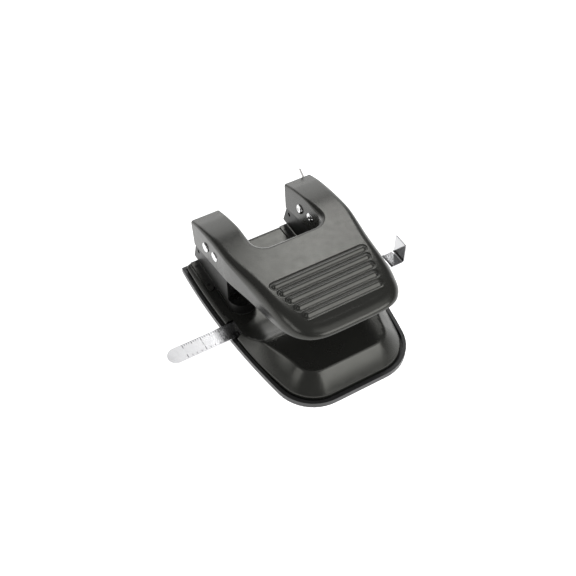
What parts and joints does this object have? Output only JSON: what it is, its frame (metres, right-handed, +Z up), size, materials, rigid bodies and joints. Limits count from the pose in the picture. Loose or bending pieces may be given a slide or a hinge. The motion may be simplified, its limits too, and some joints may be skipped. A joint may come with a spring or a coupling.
{
  "type": "two-hole punch",
  "caption": "Desk punch with a ribbed black steel handle on two hollow arms, punch heads, a sliding steel ruler and a black base that catches the chips.",
  "frame": {"origin": "middle of the flat underside of the base, on the table", "axes": "+Z up; -Y towards the grip, +Y where the paper enters; +X to the right seen from the grip"},
  "size_m": [0.1756, 0.1448, 0.0631],
  "materials": {
    "black_paint": "satin",
    "black_steel": "satin",
    "black_plastic": "matte",
    "rubber": "matte",
    "bright_steel": "brushed",
    "spring_steel": "satin",
    "chrome": "polished",
    "ruler_steel": "polished"
  },
  "bodies": {
    "base": {"base_cover": "black_paint", "chip_tray": "black_plastic", "chip_door_pin": "bright_steel", "rubber_feet": "rubber", "left_die_plate": "black_steel", "right_die_plate": "black_steel", "die_plate_rivets": "black_steel", "left_head_frame": "black_steel", "right_head_frame": "black_steel", "left_punch_guide": "bright_steel", "right_punch_guide": "bright_steel", "left_pivot_pin": "chrome", "right_pivot_pin": "chrome", "pivot_pin_clips": "spring_steel", "guide_channel": "bright_steel", "channel_rivets": "bright_steel", "guide_spring": "spring_steel", "left_return_spring": "spring_steel", "right_return_spring": "spring_steel"},
    "handle": {"handle": "black_paint", "arm_strip": "spring_steel", "left_drive_pin": "chrome", "right_drive_pin": "chrome", "drive_pin_clips": "spring_steel"},
    "left_punch": {"left_punch_pin": "bright_steel", "left_spring_clip": "spring_steel"},
    "right_punch": {"right_punch_pin": "bright_steel", "right_spring_clip": "spring_steel"},
    "ruler": {"paper_guide": "ruler_steel"},
    "chip_door": {"chip_door": "black_plastic"}
  },
  "joints": [
    {"name": "handle_press", "type": "hinge", "parent": "base", "child": "handle", "pos_m": [0, 0.0459, 0.044], "axis": [1, 0, 0], "range_deg": [0, 18], "stiffness_Nm_per_rad": 0.5, "springref_deg": -20.05},
    {"name": "left_punch_slide", "type": "slide", "parent": "base", "child": "left_punch", "axis": [0, 0, 1], "range_m": [-0.0042, 0], "deforming": ["left_return_spring"]},
    {"name": "right_punch_slide", "type": "slide", "parent": "base", "child": "right_punch", "axis": [0, 0, 1], "range_m": [-0.0042, 0], "deforming": ["right_return_spring"]},
    {"name": "ruler_slide", "type": "slide", "parent": "base", "child": "ruler", "axis": [1, 0, 0], "range_m": [-0.022, 0.035]},
    {"name": "chip_door_swing", "type": "hinge", "parent": "base", "child": "chip_door", "pos_m": [0, 0.0635, 0.0032], "axis": [1, 0, 0], "range_deg": [0, 80]}
  ],
  "couplings": [
    {"joint": "left_punch_slide", "follows": "handle_press", "m_per_rad": -0.012892},
    {"joint": "right_punch_slide", "follows": "handle_press", "m_per_rad": -0.012892}
  ]
}
